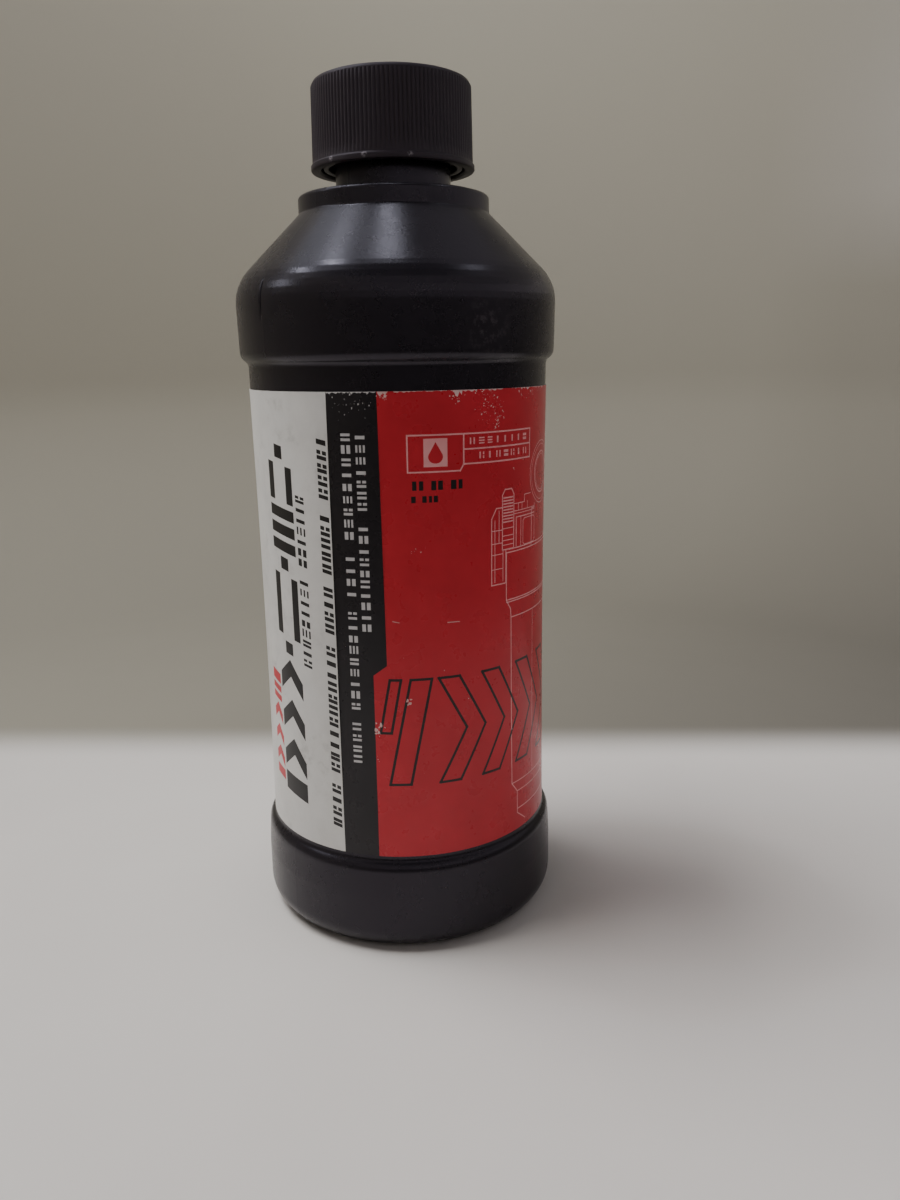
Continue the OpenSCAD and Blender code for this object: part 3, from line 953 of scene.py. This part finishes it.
def make_fluid(material):
    """The fluid, just clear of the wall, with a meniscus round its surface."""
    corners = inset(body_corners(), WALL + FLUID_CLEAR)
    path = sink(rounded(corners, 4.0, 9.0))
    top = int(np.argmax(path[:, 1] > FLUID_Z))
    wall_r = path[top - 1][0]
    rim = [(wall_r - x, FLUID_Z - MENISCUS * (1 - math.exp(-x / MENISCUS_REACH)))
           for x in MENISCUS_STEPS]
    path = np.array([*path[:top], *rim, (0, FLUID_Z - MENISCUS)])
    verts, faces = turned(path, columns(144), None, thin_near_axis(path, HEEL_R))
    return new_piece("fluid_body", verts, faces, [material], "bottle_body", "fluid_fill")


def inner_cap_relief(phi, r, z, n):
    """The cap's own thread inside, and the drive lugs on top."""
    if n[0] < -0.9 and r > ROOT_R - 0.2 and z < CEILING_Z - 0.5:
        return thread_height(phi, z, THREAD_Z - CAP_THREAD_DROP, ROOT_R - CREST_R)
    if n[1] > 0.9 and z > INNER_TOP_Z - 0.01:
        return lug_relief(phi, 0, r)
    return np.zeros(len(phi))


def make_inner_cap(material):
    lug_edges = [(LUG_OUT + 0.06, INNER_TOP_Z, 0), (LUG_OUT, INNER_TOP_Z, 0),
                 (LUG_IN, INNER_TOP_Z, 0), (LUG_IN - 0.06, INNER_TOP_Z, 0)]
    corners = [(0, CEILING_Z, 0), (ROOT_R, CEILING_Z, 0.4), (ROOT_R, INNER_BOTTOM_Z, 0.3),
               (INNER_R, INNER_BOTTOM_Z, 0.3), (INNER_R, FLANGE_Z, 0.15),
               (FLANGE_R, FLANGE_Z, 0.2), (FLANGE_R, FLANGE_Z + FLANGE_H, 0.2),
               (INNER_R, FLANGE_Z + FLANGE_H, 0.2), (INNER_R, INNER_TOP_Z, 0.5),
               *lug_edges, (0, INNER_TOP_Z, 0)]
    path = rounded(corners, 3.0, 15.0, [(INNER_BOTTOM_Z + 0.8, 182.0, 0.16)])
    lug_sides = [90 + k * LUG_PITCH + side * (LUG_ANGLE / 2 + d)
                 for k in range(LUGS) for side in (-1, 1) for d in (0.0, 0.15)]
    verts, faces = turned(path, columns(240, lug_sides, 0.3), inner_cap_relief)
    return new_piece("inner_cap_moulding", verts, faces, [material], "inner_cap_body",
                     "inner_cap")


def outer_cap_relief(phi, r, z, n):
    """Grip grooves outside, drive lugs under the ceiling, a gate mark on top."""
    if n[0] > 0.5 and z > CAP_BOTTOM_Z + CAP_LIP_H:
        if z > RIB_TOP_Z:
            return np.full(len(phi), -RIB_LEDGE * smooth((CAP_TOP_Z - z - 0.4) / 0.5))
        share = smooth((z - CAP_BOTTOM_Z - CAP_LIP_H - 0.1) / 0.7)
        return -np.maximum(rib_depth_at(phi) * share, RIB_LEDGE * (z > RIB_TOP_Z - 0.001))
    if n[0] > 0.2 and z > CAP_BOTTOM_Z + 0.1 and r > CAP_R - 0.6:
        return lip_burrs(phi, z - CAP_BOTTOM_Z)
    if n[1] < -0.9 and z > SHELL_CEILING_Z - 0.01:
        return lug_relief(phi, LUG_PITCH / 2, r)
    if n[1] > 0.9 and z > CAP_TOP_Z - 0.01 and r < 2.2:
        return -0.25 * smooth((2.0 - r) / 0.5) + 0 * phi
    return np.zeros(len(phi))


def lip_burrs(phi, height):
    """Small burrs left on the lip's face."""
    out = np.zeros(len(phi))
    for at, middle in BURRS:
        across = degrees_off(phi, at) * math.radians(CAP_R)
        out += 0.13 * np.exp(-(across / 0.32) ** 2 - ((height - middle) / 0.3) ** 2)
    return out


def cap_columns():
    """Eight columns to each rib, close together on its crest."""
    parts = (-0.35, -0.2, -0.12, 0.0, 0.12, 0.2, 0.35, 0.5)
    return np.array(sorted(((k + p) * 360 / RIBS) % 360 for k in range(RIBS) for p in parts))


def make_outer_cap(material):
    body_r = CAP_R - CAP_LIP_STEP
    bottom = CAP_BOTTOM_Z
    corners = [(0, SHELL_CEILING_Z, 0), (SHELL_R, SHELL_CEILING_Z, 0.6),
               (SHELL_R, BEAD_TOP_Z + BEAD_BEVEL, 0.2), (BEAD_R, BEAD_TOP_Z, 0.2),
               (BEAD_R, bottom + BEAD_BEVEL, 0.2), (BEAD_R + BEAD_BEVEL, bottom, 0.2),
               (CAP_R, bottom, LIP_EDGE), (CAP_R, bottom + CAP_LIP_H - CAP_LIP_STEP, 0.15),
               (body_r, bottom + CAP_LIP_H, 0.1), (CAP_TOP_R, CAP_TOP_Z - 0.9, 0.15),
               (CAP_TOP_R - 0.55, CAP_TOP_Z - 0.3, 0.5), (CAP_TOP_R - 1.3, CAP_TOP_Z, 0.6),
               (0, CAP_TOP_Z, 0)]
    path = rounded(corners, 2.2, 15.0, [(bottom + 0.2, bottom + CAP_LIP_H, 0.2),
                                        (bottom + CAP_LIP_H, bottom + 3.2, 0.35),
                                        (CAP_TOP_Z - 3.2, CAP_TOP_Z - 1.2, 0.6)])
    ledge = int(np.argmax((path[:, 0] > body_r - 1) & (path[:, 1] > RIB_TOP_Z)))
    share = (RIB_TOP_Z - path[ledge - 1][1]) / (path[ledge] - path[ledge - 1])[1]
    step = path[ledge - 1] + (path[ledge] - path[ledge - 1]) * share
    path = np.array([*path[:ledge], step, step + (0, 0.03), *path[ledge:]])
    ribbed = (path[:, 0] > body_r - 0.8) & (path[:, 1] > bottom + 0.05)
    stride = [1 if fine else (4 if r > 8 else 8) for fine, r in zip(ribbed, path[:, 0])]
    verts, faces = turned(path, cap_columns(), outer_cap_relief, stride)
    return new_piece("outer_cap_shell", verts, faces, [material], "outer_cap_body",
                     "outer_cap")


def make_liner(material):
    """Foam wad with the lip's ring pressed into its underside."""
    low, high = (s[2] for s in span("cap_liner"))
    corners = [(0, low, 0), (BORE_R - 0.6, low, 0), (BORE_R - 0.1, low + 0.07, 0),
               (NECK_R + 0.1, low + 0.07, 0), (NECK_R + 0.5, low, 0), (LINER_R, low, 0.12),
               (LINER_R, high, 0.12), (0, high, 0)]
    path = rounded(corners, 2.0, 20.0)
    verts, faces = turned(path, columns(144), None, thin_near_axis(path, LINER_R))
    return new_piece("liner_disc", verts, faces, [material], "liner_body", "cap_liner")


def make_pieces():
    worn_red, worn_grey = (0.55, 0.28, 0.27), (0.25, 0.24, 0.24)
    inks = [film_ink(*ink) for ink in (
        ("label_film", (0.66, 0.65, 0.63), (0.76, 0.75, 0.73), (0.4, 0.39, 0.38), 0.4, 0.34,
         0.42),
        ("label_black", (0.013, 0.0105, 0.013), (0.018, 0.0152, 0.018), worn_grey, 0.3, 0.28),
        ("label_red", (0.53, 0.019, 0.032), (0.61, 0.024, 0.039), worn_red, 0.3, 0.28),
        ("label_dark_ink", (0.012, 0.010, 0.011), (0.02, 0.018, 0.018), worn_grey, 0.3, 0.30),
        ("label_pale_ink", (0.55, 0.53, 0.54), (0.64, 0.62, 0.62), (0.3, 0.2, 0.2), 0.3, 0.32),
        ("label_pink_ink", (0.86, 0.36, 0.37), (0.92, 0.43, 0.43), (0.5, 0.05, 0.05), 0.3,
         0.32),
        ("label_mark_red", (0.56, 0.03, 0.045), (0.64, 0.04, 0.055), (0.7, 0.5, 0.5), 0.4,
         0.34),
        ("label_worn", (0.72, 0.42, 0.40), (0.80, 0.58, 0.56), (0.5, 0.1, 0.1), 0.5, 0.5))]
    make_bottle(bottle_plastic())
    make_label(inks)
    make_fluid(fluid_material())
    make_inner_cap(cap_plastic("inner_cap_plastic", (0.014, 0.011, 0.014),
                               (0.020, 0.016, 0.020), 0.38, 0.46))
    make_outer_cap(cap_plastic("outer_cap_plastic", (0.0195, 0.0145, 0.0185),
                               (0.0250, 0.0190, 0.0235), 0.44, 0.52, BURRS))
    make_liner(liner_material())


# ---------------- stage

def make_floor():
    """A flat floor that sweeps up into a wall all round."""
    path = [(0.0, 0.0), (120.0, 0.0), (FLOOR_R, 0.0)]
    path += [(FLOOR_R + SWEEP_R * math.sin(t), SWEEP_R - SWEEP_R * math.cos(t))
             for t in np.radians(np.arange(6, 91, 6))]
    path.append((FLOOR_R + SWEEP_R, WALL_H))
    a = np.radians(columns(90))
    verts = [(0, 0, 0), *((r * math.sin(t), -r * math.cos(t), z) for r, z in path[1:] for t in a)]
    rings = 1 + np.arange(len(verts) - 1).reshape(-1, len(a))
    faces = [[0, *pair] for pair in zip(rings[0].tolist(), np.roll(rings[0], -1).tolist())]
    for low, high in zip(rings, rings[1:]):
        faces += np.stack([low, high, np.roll(high, -1), np.roll(low, -1)], 1).tolist()
    linked("floor", smooth_mesh("floor", verts, faces, [stage_paint()]))


def soft_light(name, azimuth, elevation, distance, size, power, colour, target_z=147):
    """A rectangular soft light that faces the bottle. azimuth is measured as phi is."""
    a, e = math.radians(azimuth), math.radians(elevation)
    way = Vector((math.sin(a) * math.cos(e), -math.cos(a) * math.cos(e), math.sin(e)))
    light = bpy.data.lights.new(name, "AREA")
    light.shape, light.size, light.size_y = "RECTANGLE", size[0] * MM, size[1] * MM
    light.energy, light.color = power, colour
    obj = linked(name, light)
    obj.location = (Vector((0, 0, target_z)) + way * distance) * MM
    obj.rotation_euler = (-way).to_track_quat("-Z", "Y").to_euler()
    obj.visible_camera = False
    return obj


def make_lights():
    world = bpy.data.worlds.new("studio")
    world.use_nodes = True
    background = world.node_tree.nodes["Background"]
    background.inputs["Color"].default_value = (0.93, 0.96, 1.0, 1)
    background.inputs["Strength"].default_value = 0.05
    bpy.context.scene.world = world
    cool, plain = (0.88, 0.92, 1.0), (1.0, 0.985, 0.965)
    key = soft_light("key_left", -100, 60, 900, (520, 520), 11.0, plain, 90)
    key.visible_glossy = False
    soft_light("ceiling_left", -122, 57, 900, (800, 620), 1.45, cool)
    soft_light("ceiling_right", 128, 62, 900, (760, 560), 0.30, (1.0, 0.93, 1.0))
    soft_light("strip_above", -150, 84, 860, (105, 170), 0.52, cool)
    soft_light("lamp_left", -106, 65, 853, (60, 50), 0.58, cool)
    soft_light("lamp_mid_left", -97, 47, 853, (70, 60), 0.56, cool)
    soft_light("lamp_low_left", -90, 27, 349, (60, 60), 0.06, cool)
    soft_light("lamp_right", 85, 54, 861, (70, 60), 0.18, cool)


def make_camera():
    """The photograph's viewpoint, from its fitted height, pitch, yaw and roll."""
    yaw, pitch, roll = np.radians((CAMERA_YAW, CAMERA_PITCH, CAMERA_ROLL)).tolist()
    ahead = Vector((math.sin(yaw) * math.cos(pitch), math.cos(yaw) * math.cos(pitch),
                    -math.sin(pitch)))
    right = Vector((math.cos(yaw), -math.sin(yaw), 0))
    up = right.cross(ahead)
    side = math.cos(roll) * right + math.sin(roll) * up
    top = -math.sin(roll) * right + math.cos(roll) * up
    camera = bpy.data.cameras.new("camera")
    camera.lens, camera.sensor_width = LENS, SENSOR
    camera.clip_start, camera.clip_end = 0.01, 20
    obj = linked("camera", camera)
    obj.matrix_world = Matrix((
        (side.x, top.x, -ahead.x, 0.0),
        (side.y, top.y, -ahead.y, CAMERA_Y * MM),
        (side.z, top.z, -ahead.z, CAMERA_Z * MM),
        (0, 0, 0, 1)))
    bpy.context.scene.camera = obj


make_camera()
make_lights()
make_floor()
make_pieces()
